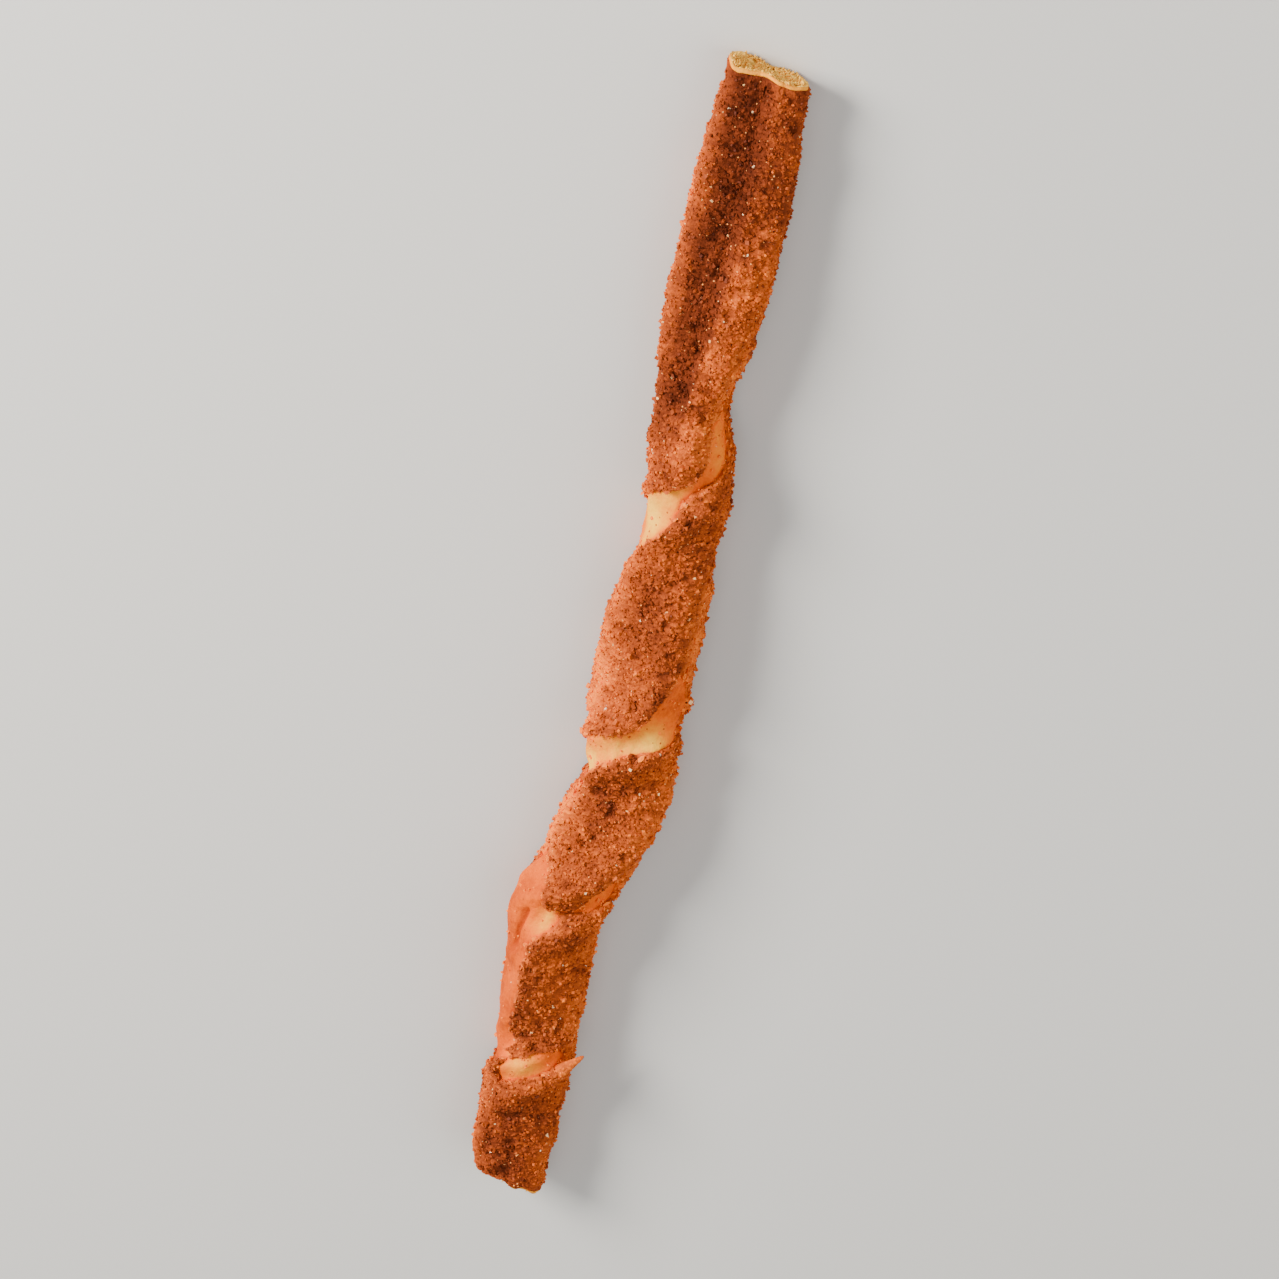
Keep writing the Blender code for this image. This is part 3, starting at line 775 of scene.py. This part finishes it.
CRUST_TONES = (
    (0, 0.48), (5, 0.42), (14, 0.46), (22, 0.55), (34, 0.57), (48, 0.58), (62, 0.57), (76, 0.55), (86, 0.56),
    (98, 0.56), (116, 0.55), (132, 0.57), (146, 0.54), (164, 0.50), (184, 0.46), (197, 0.46), (LENGTH, 0.5),
)
# Soft spots of the crust's own tone. Those at headings -80 to -95, on the main light's side, paint light on
# the rims that face it.
TONE_AND_RIM_LIGHT_SPOTS = (
    (5.0, 60.0, 4.0, 34.0, 0.26), (8.0, -20.0, 6.0, 34.0, -0.12), (33.0, 5.0, 6.0, 34.0, -0.10),
    (76.0, -15.0, 4.5, 26.0, -0.16), (112.0, -5.0, 5.0, 20.0, -0.10), (25.0, 40.0, 4.0, 22.0, 0.16),
    (100.0, 22.0, 4.0, 14.0, -0.12), (100.0, 58.0, 3.0, 16.0, 0.28), (95.0, -80.0, 46.0, 26.0, 0.36),
    (18.0, -80.0, 28.0, 22.0, 0.22), (180.0, -95.0, 16.0, 18.0, 0.34), (75.0, 80.0, 75.0, 28.0, 0.20),
    (64.0, -80.0, 12.0, 26.0, 0.18), (72.0, 50.0, 4.0, 18.0, 0.16),
)
TONE_PATCHES = ((7.0, 0.10, 121), (2.6, 0.08, 123))
GRAIN_SHADE_AND_TONE, PIT_PAINTED_SHADE, TRAY_TONE = 0.62, -0.17, -0.25
SIDE_TONE, BORDER_TONE, BORDER_PALES = 0.08, 0.16, (0.7, 0.0)
# The trough is painted darker, partly as shade and partly as more cinnamon, and the ridge beside it paler, as
# painted light.
TROUGH_SHADE_AND_CINNAMON, RIDGE_PAINTED_LIGHT = -0.27, 0.17
TROUGH_DARK_WIDTH, TROUGH_DARKENS = 3.4, (138, 150)
RIDGE_EDGE, RIDGE_STARTS, RIDGE_STOPS = (-1.3, -1.9), (136, 146), (186, 168)


def long_face_shade_and_light(grid):
    """Darker in the longest face's trough, exp(-(distance / width)^8), as painted shade and more cinnamon,
    and paler on the ridge beside it, as painted light.
    """
    trough = np.exp(-(((grid.a - TROUGH_MIDDLE) / TROUGH_DARK_WIDTH) ** 8)) * smooth(*TROUGH_DARKENS, grid.s)
    ridge = smooth(*RIDGE_EDGE, grid.a) * smooth(*RIDGE_STARTS, grid.s) * smooth(*RIDGE_STOPS, grid.s)
    return (TROUGH_SHADE_AND_CINNAMON * trough + RIDGE_PAINTED_LIGHT * ridge) * (grid.b < 0)


def crust_surface(grid):
    """How far the crust stands out at each point of a grid, and its tone, from dark at 0 to pale at 1."""
    tray = smooth(*NEAR_TRAY, grid.plain[..., 2])
    relief, paler = 0.0, 0.0
    for size, height, seed, shortened in GRAIN_SIZES:
        block, number = grains(grid.plain / np.array([shortened, 1.0, 1.0]), size, seed)
        relief = relief + height * block
        # Each grain's tone follows its block: darker in the groove round it, as painted shade, and otherwise
        # its own random tone.
        paler = paler + height * (block - 0.5) + 0.25 * height * (number - 0.5)
    pits = smooth(*PIT_LEVELS, noise(grid.plain, PIT_SIZE, 113))
    relief = (relief - PIT_DEPTH * pits - GRAIN_MEAN) * (1 - SMOOTHER_SIDE * grid.on_side)
    relief = relief * (1 - SMOOTHER_BELOW * tray)
    cover = smooth(*COVERS, grid.margin)
    rise = grid.broad + (CRUST_RISE + relief) * cover - (DOUGH_DIP + TUCKED_IN) * (1 - cover)
    # The tone paints shade in the trough, the pits and the grooves between grains, and light on the ridge and
    # on the rims that face the main light.
    tone = spline(grid.s, CRUST_TONES) + spots(grid.s, grid.heading, TONE_AND_RIM_LIGHT_SPOTS) + long_face_shade_and_light(grid)
    tone = tone + SIDE_TONE * grid.on_side + layered(grid.plain, TONE_PATCHES) + GRAIN_SHADE_AND_TONE * paler
    # The pits are painted darker, as shade.
    tone = tone + PIT_PAINTED_SHADE * pits + TRAY_TONE * tray + BORDER_TONE * smooth(*BORDER_PALES, grid.margin)
    return rise, tone


def fold_end(places, rises, tones, place_of):
    """Rows that lead from inside the stick out to the crust's first row: same tones, lower rises."""
    inner = [np.full_like(rises[0], fold) for fold in FOLD_RISES]
    return (np.concatenate([[place_of(x) for x in FOLD_PLACES[:2]], places]),
            np.concatenate([np.stack(inner), rises]), np.concatenate([tones[:1], tones[:1], tones]))


def crust_stretch(start, stop):
    """One stretch of crust between two places, as rings and tones, folded in where it reaches an end."""
    count = math.ceil((stop - start) / ROW_STEP) + 1
    grid = Grid(np.linspace(start, stop, count), CRUST_COLUMNS)
    rise, tone = crust_surface(grid)
    places = grid.s[:, 0]
    if start < 1:
        places, rise, tone = fold_end(places, rise, tone, lambda x: x)
    if stop > LENGTH - 1:
        folded = fold_end(places[::-1], rise[::-1], tone[::-1], lambda x: LENGTH - x)
        places, rise, tone = (values[::-1] for values in folded)
    return skin(places[:, None], grid.angle, rise), tone


bounds = [FOLD_PLACES[2], *(place for place, _ in CROSSINGS), LENGTH - FOLD_PLACES[2]]
for number, (start, stop) in enumerate(zip(bounds, bounds[1:]), 1):
    rings, tone = crust_stretch(start, stop)
    points, faces = closed_tube(rings)
    crust = make_piece(f"cinnamon_crust_{number}", points, faces, {"tone": tube_values(tone)}, crust_material)
    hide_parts("breadstick")

# %% [markdown]
# Scattering small solids.
#
# Loose sugar could be a particle system, but the meshes have to be real, so each kind is one joined mesh
# worked out as arrays: a base shape, one random turn and size for each copy, and its place on the crust.
# A kind's size is given as its median, its spread, its least and its most, in mm. The draws are seeded, so
# the same grains fall in the same places every time.

# %% Scattering helpers
GOLDEN = 0.5 * (1 + math.sqrt(5))
ICO_POINTS = np.array([
    (-1, GOLDEN, 0), (1, GOLDEN, 0), (-1, -GOLDEN, 0), (1, -GOLDEN, 0), (0, -1, GOLDEN), (0, 1, GOLDEN),
    (0, -1, -GOLDEN), (0, 1, -GOLDEN), (GOLDEN, 0, -1), (GOLDEN, 0, 1), (-GOLDEN, 0, -1), (-GOLDEN, 0, 1),
]) / math.hypot(1, GOLDEN)
ICO_FACES = np.array([(0, 11, 5), (0, 5, 1), (0, 1, 7), (0, 7, 10), (0, 10, 11), (1, 5, 9), (5, 11, 4),
                      (11, 10, 2), (10, 7, 6), (7, 1, 8), (3, 9, 4), (3, 4, 2), (3, 2, 6), (3, 6, 8),
                      (3, 8, 9), (4, 9, 5), (2, 4, 11), (6, 2, 10), (8, 6, 7), (9, 8, 1)])
CUBE_POINTS = np.array(list(itertools.product((-1, 1), repeat=3)), float)
CUBE_FACES = np.array([(0, 1, 3, 2), (4, 6, 7, 5), (0, 4, 5, 1), (2, 3, 7, 6), (0, 2, 6, 4), (1, 5, 7, 3)])
PLATE_POINTS = np.array([(math.cos(k * math.pi / 3), math.sin(k * math.pi / 3), 0) for k in range(6)]
                        + [(0, 0, 1), (0, 0, -1)])
PLATE_FACES = np.array([(k, (k + 1) % 6, 6) for k in range(6)] + [((k + 1) % 6, k, 7) for k in range(6)])


def random_turns(rng, count):
    """Random rotation matrices, from unit quaternions."""
    quaternions = rng.normal(size=(4, count))
    w, x, y, z = quaternions / np.linalg.norm(quaternions, axis=0)
    rows = [1 - 2 * (y * y + z * z), 2 * (x * y - w * z), 2 * (x * z + w * y),
            2 * (x * y + w * z), 1 - 2 * (x * x + z * z), 2 * (y * z - w * x),
            2 * (x * z - w * y), 2 * (y * z + w * x), 1 - 2 * (x * x + y * y)]
    return np.stack(rows, axis=-1).reshape(count, 3, 3)


def turns_facing(rng, normals):
    """Rotations that take Z to each normal and X to a random direction across it."""
    across = np.cross(normals, rng.normal(size=normals.shape))
    across /= np.linalg.norm(across, axis=-1, keepdims=True)
    return np.stack([across, np.cross(normals, across), normals], axis=-1)


def scatter(rng, weights, count):
    """Grid places drawn once each, with chances in proportion to weights, as row and column numbers."""
    chances = (weights / weights.sum()).ravel()
    return np.unravel_index(rng.choice(chances.size, count, replace=False, p=chances), weights.shape)


def random_sizes(rng, median, spread, least, most, count):
    """Log-normal sizes about their median, cut off at the least and the most."""
    return np.clip(rng.lognormal(math.log(median), spread, count), least, most)


def copies(name, base, faces, middles, turns, sizes, tones, material, rng, wobble, flat=True):
    """Joined copies of a base: middle + turn @ (size * base * (1 + wobble)), never below the tray."""
    shape = base[None] * (1 + wobble * rng.uniform(-1, 1, (len(middles), len(base), 1)))
    points = middles[:, None] + np.einsum("nij,nkj->nki", turns, shape * sizes[:, None])
    points[..., 2] = np.maximum(points[..., 2], 0.0)
    index = faces[None] + len(base) * np.arange(len(middles))[:, None, None]
    index = index.reshape(-1, faces.shape[1])
    attributes = {"tone": np.repeat(tones, len(base))}
    return make_piece(name, points.reshape(-1, 3), index, attributes, material, flat)


ground = Grid(np.linspace(FOLD_PLACES[2], LENGTH - FOLD_PLACES[2], 900), 200)
ground_rise, ground_tone = crust_surface(ground)
ground_points = ground.skin(np.where(ground.margin > 0, ground_rise, ground.broad - DOUGH_DIP))
ground_normals = grid_normals(ground.skin(ground.broad))
ground_area = np.linalg.norm(np.cross(np.gradient(ground_points, axis=0),
                                      np.roll(ground_points, -1, axis=1) - ground_points), axis=-1)
ground_area = ground_area * smooth(0.1, 1.2, ground_points[..., 2])
away_from_ends = smooth(0.3, 2.0, ground.s) * smooth(LENGTH - 0.3, LENGTH - 2.0, ground.s)
print("crust surface", round(float((ground_area * (ground.margin > 0)).sum())), "square mm")

# %% [markdown]
# Loose grains.
#
# Sugar and cinnamon that didn't melt into the crust lie on it as broken blocks, about a quarter of a
# millimetre across. Bumps in the material would stay flat at the stick's outline, and balls would look like
# beads. So each grain is a cube whose corners are pushed about, sunk by its own amount to look baked on.

# %% Cinnamon sugar grains
GRAIN_COUNT = 14500
GRAIN_HALF = (0.128, 0.34, 0.06, 0.28)


def grain_copies():
    """Broken blocks of sugar and cinnamon, thick on the crust, with a few that fell on the dough."""
    rng = np.random.default_rng(7)
    on_crust = smooth(0.0, 0.6, ground.margin) * (1 - 0.5 * ground.on_side) + 0.05
    row, column = scatter(rng, ground_area * on_crust * away_from_ends, GRAIN_COUNT)
    half = random_sizes(rng, *GRAIN_HALF, GRAIN_COUNT)
    sizes = half[:, None] * rng.uniform(0.65, 1.3, (GRAIN_COUNT, 3))
    sunk = rng.uniform(-0.8, 0.2, GRAIN_COUNT) * half
    middles = ground_points[row, column] + ground_normals[row, column] * sunk[:, None]
    tones = ground_tone[row, column] + rng.normal(0.03, 0.10, GRAIN_COUNT)
    tones = tones + 0.3 * (ground.margin[row, column] < 0)
    turns = random_turns(rng, GRAIN_COUNT)
    return copies("sugar_grains", CUBE_POINTS, CUBE_FACES, middles, turns, sizes, tones, grain_material,
                  rng, wobble=0.3)


grain_copies()

# %% [markdown]
# Whole crystals.
#
# A few crystals of sugar stayed whole and clear. They could be pale specks in the crust's colour, but only
# real faces glint as the view turns. So they are cubes too, nearly square, and glossy.

# %% Sugar crystals
CRYSTAL_COUNT = 360
CRYSTAL_HALF = (0.14, 0.35, 0.08, 0.30)


def crystal_copies():
    """Clear crystals that didn't melt: small blocks of sugar, mostly on the crust, turned every way."""
    rng = np.random.default_rng(11)
    weights = ground_area * (smooth(0.0, 0.6, ground.margin) + 0.05) * away_from_ends
    row, column = scatter(rng, weights, CRYSTAL_COUNT)
    half = random_sizes(rng, *CRYSTAL_HALF, CRYSTAL_COUNT)
    sizes = half[:, None] * rng.uniform(0.75, 1.3, (CRYSTAL_COUNT, 3))
    middles = ground_points[row, column] + ground_normals[row, column] * (0.9 * half)[:, None]
    turns = random_turns(rng, CRYSTAL_COUNT)
    tones = rng.beta(1.4, 1.6, CRYSTAL_COUNT)
    return copies("sugar_crystals", CUBE_POINTS, CUBE_FACES, middles, turns, sizes, tones, crystal_material,
                  rng, wobble=0.1)


crystal_copies()

# %% [markdown]
# Lifted flakes.
#
# Where the crust stops, thin plates of it lift off the dough, and their shadows fall beside them. The border
# could be made this ragged in the crust's own mesh, but that takes far more rows than the rest of the crust
# needs. So six-sided plates stand along it, thick in the middle and thin at the rim.

# %% Flakes along the crust's edge
FLAKE_COUNT = 1500
FLAKE_LENGTH = (0.36, 0.35, 0.16, 0.8)


def edge_flakes():
    """Thin plates of crust that lift along the border with the bare dough."""
    rng = np.random.default_rng(13)
    border = np.exp(-(((ground.margin - 0.25) / 0.3) ** 2))
    row, column = scatter(rng, ground_area * border * away_from_ends, FLAKE_COUNT)
    normal = ground_normals[row, column] + 0.45 * rng.normal(size=(FLAKE_COUNT, 3))
    normal /= np.linalg.norm(normal, axis=-1, keepdims=True)
    length = random_sizes(rng, *FLAKE_LENGTH, FLAKE_COUNT)
    width = length * rng.uniform(0.45, 0.9, FLAKE_COUNT)
    sizes = np.stack([length, width, rng.uniform(0.08, 0.16, FLAKE_COUNT)], axis=-1)
    tones = ground_tone[row, column] + rng.normal(0.10, 0.12, FLAKE_COUNT)
    turns = turns_facing(rng, normal)
    return copies("edge_flakes", PLATE_POINTS, PLATE_FACES, ground_points[row, column], turns, sizes, tones,
                  grain_material, rng, wobble=0.25)


edge_flakes()

# %% [markdown]
# Torn shreds.
#
# A snapped end tears where a cut one would be smooth, so short shreds of crumb stand out of each end. Hair
# curves would be too thin and even, so each shred is a ball of twenty faces, stretched and wobbled.

# %% Shreds of torn crumb
SHRED_COUNT = 420
SHRED_SPANS = ((0.25, 0.6), (0.08, 0.3), (0.06, 0.16))


def crumb_shreds(name, rim, outward, seed):
    """Thin shreds that stand out of a snapped end, spread evenly over its disc."""
    rng = np.random.default_rng(seed)
    share = np.sqrt(rng.uniform(0, 0.9, SHRED_COUNT))
    middle = rim.mean(axis=0)
    spot = middle + (rim[rng.integers(0, len(rim), SHRED_COUNT)] - middle) * share[:, None]
    spot[:, 0] -= outward * (END_HOLLOW * (1 - share**2) - 0.1)
    direction = np.array([outward, 0, 0]) + 0.75 * rng.normal(size=(SHRED_COUNT, 3))
    direction /= np.linalg.norm(direction, axis=-1, keepdims=True)
    length, width, thick = (rng.uniform(*span, SHRED_COUNT) for span in SHRED_SPANS)
    sizes = np.stack([width, thick, length], axis=-1)
    turns = turns_facing(rng, direction)
    tones = rng.uniform(0.7, 1.0, SHRED_COUNT)
    return copies(name, ICO_POINTS, ICO_FACES, spot, turns, sizes, tones, crumb_material, rng, wobble=0.3,
                  flat=False)


for shreds in (crumb_shreds("low_end_shreds", dough_points[0], -1, 17),
               crumb_shreds("high_end_shreds", dough_points[-1], 1, 19)):
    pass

# %% [markdown]
# The torn point.
#
# At the lowest crossing a corner of the strip tore free and baked as a small curled point beside the bare
# patch. It is a tube whose rings shrink with the square root of the distance left, so its tip is blunt, and
# its centre line curls up. Its grains are the crust's, and it is paler because it is so thin.

# %% The torn point
POINT_PLACE = (24.2, -2.3, 9.3)
POINT_LENGTH, POINT_WIDTH, POINT_THICK = 9.2, 2.8, 1.9
POINT_ROOT = 2.2
POINT_CURL = 0.8
POINT_HEADING = math.radians(-37.0)
POINT_ROWS, POINT_COLUMNS = 90, 48
POINT_GRAIN, POINT_TONE = 0.7, 0.90
POINT_LUMPS = ((1.3, 0.15, 131),)


def torn_point():
    """x = length * t - root; half axes times sqrt(1 - t); z lifted by curl * t^2; turned by the heading."""
    t = np.linspace(0, 0.996, POINT_ROWS)[:, None]
    turn = (np.arange(POINT_COLUMNS) * 2 * math.pi / POINT_COLUMNS)[None, :]
    taper = np.sqrt(1 - t)
    x = np.broadcast_to(POINT_LENGTH * t - POINT_ROOT, (POINT_ROWS, POINT_COLUMNS))
    y = POINT_WIDTH / 2 * taper * np.cos(turn)
    z = POINT_THICK / 2 * taper * np.sin(turn)
    local = np.stack([x, y, z], axis=-1)
    block, _ = grains(local, POINT_GRAIN, 137)
    swell = layered(local, POINT_LUMPS) + 0.12 * (block - 0.5)
    local = local * (1 + swell[..., None] * np.array([0, 1, 1]))
    local[..., 2] += POINT_CURL * t**2
    cos, sin = math.cos(POINT_HEADING), math.sin(POINT_HEADING)
    turned_round = np.stack([local[..., 0] * cos - local[..., 1] * sin,
                             local[..., 0] * sin + local[..., 1] * cos, local[..., 2]], axis=-1)
    # The tone is darker in the grooves between grains, as painted shade, and otherwise each grain's own.
    tone = POINT_TONE - 0.10 * t + 0.16 * (block - 0.5) + 0.1 * noise(local, 1.5, 133)
    return turned_round + np.array(POINT_PLACE) - np.array([LENGTH / 2 + SET_BACK, 0, 0]), tone


rings, tone = torn_point()
points, faces = closed_tube(rings)
point = make_piece("torn_point", points, faces, {"tone": tube_values(tone)}, crust_material)

# %% [markdown]
# The studio.
#
# A plain pale floor and soft light. The main light is large and low on the stick's left, as in the
# photograph, so that the left edges are bright and the grains throw small shadows. A weak wide light on the
# other side keeps the shadows open.

# %% Floor and lights
FLOOR_HALF = 3.0
FLOOR_COLOUR = (0.62, 0.61, 0.585)
LIGHTS = (
    ("key", (0.25, 0.58, 0.37), 0.32, 13.5, (1.0, 0.96, 0.90)),
    ("fill", (0.1, -0.7, 0.6), 0.8, 5.6, (1.0, 0.98, 0.95)),
    ("top", (-0.1, 0.0, 1.1), 0.9, 2.8, (1.0, 1.0, 1.0)),
)
ROOM_COLOUR, ROOM_STRENGTH = (0.86, 0.87, 0.88), 0.35


def make_floor():
    """A flat square of 6 m, pale and matt."""
    mesh = bpy.data.meshes.new("floor")
    corners = [(x * FLOOR_HALF, y * FLOOR_HALF, 0) for x, y in ((-1, -1), (1, -1), (1, 1), (-1, 1))]
    mesh.from_pydata(corners, [], [(0, 1, 2, 3)])
    floor = bpy.data.objects.new("floor", mesh)
    bpy.context.scene.collection.objects.link(floor)
    finish = Finish("floor", roughness=0.9, specular=0.2)
    finish.shader.inputs["Base Color"].default_value = (*FLOOR_COLOUR, 1.0)
    mesh.materials.append(finish.material)


def make_light(name, place, size, watts, colour):
    """A square area light that faces the stick, its place and size in metres."""
    light = bpy.data.lights.new(name, "AREA")
    light.size = size
    light.energy = watts
    light.color = colour
    lamp = bpy.data.objects.new(name, light)
    lamp.matrix_world = Matrix.Translation(place) @ Vector(place).to_track_quat("Z", "Y").to_matrix().to_4x4()
    bpy.context.scene.collection.objects.link(lamp)


def make_room():
    """The weak even light that comes from everywhere else."""
    world = bpy.data.worlds.new("room")
    world.use_nodes = True
    background = world.node_tree.nodes["Background"]
    background.inputs["Color"].default_value = (*ROOM_COLOUR, 1.0)
    background.inputs["Strength"].default_value = ROOM_STRENGTH
    bpy.context.scene.world = world


make_floor()
for light in LIGHTS:
    make_light(*light)
make_room()
print("lights:", [name for name, *_ in LIGHTS])

# %% [markdown]
# The camera.
#
# The photograph looks at the stick from 28.4 degrees off its square, towards its long untwisted end, and
# sees it lean 13.1 degrees to the right. The stick lies down here, so the camera looks down at it by the
# same angles, from the same distance, through a longer lens that fills the frame.

# %% The camera
VIEW_OFF_SQUARE = math.radians(28.4)
LEAN = math.radians(13.1)
DISTANCE = 1.054
LENS = 189.0
AIM = Vector((0.004 - MM * SET_BACK, 0.0, 0.006))


def make_camera():
    """Axes from the view direction d: up is the stick's direction seen square, turned back by the lean."""
    towards = Vector((math.sin(VIEW_OFF_SQUARE), 0, math.cos(VIEW_OFF_SQUARE)))
    along = Vector((math.cos(VIEW_OFF_SQUARE), 0, -math.sin(VIEW_OFF_SQUARE)))
    side = along.cross(towards)
    up = along * math.cos(LEAN) - side * math.sin(LEAN)
    right = side * math.cos(LEAN) + along * math.sin(LEAN)
    axes = Matrix((right, up, towards)).transposed().to_4x4()
    data = bpy.data.cameras.new("camera")
    data.lens = LENS
    data.clip_end = 20.0
    camera = bpy.data.objects.new("camera", data)
    camera.matrix_world = Matrix.Translation(AIM + towards * DISTANCE) @ axes
    bpy.context.scene.collection.objects.link(camera)
    bpy.context.scene.camera = camera


make_camera()
print("camera:", DISTANCE, "m away, with a lens of", LENS, "mm")

# %% [markdown]
# The last step brings the scene up to date.

# %% Bringing the scene up to date
bpy.context.view_layer.update()
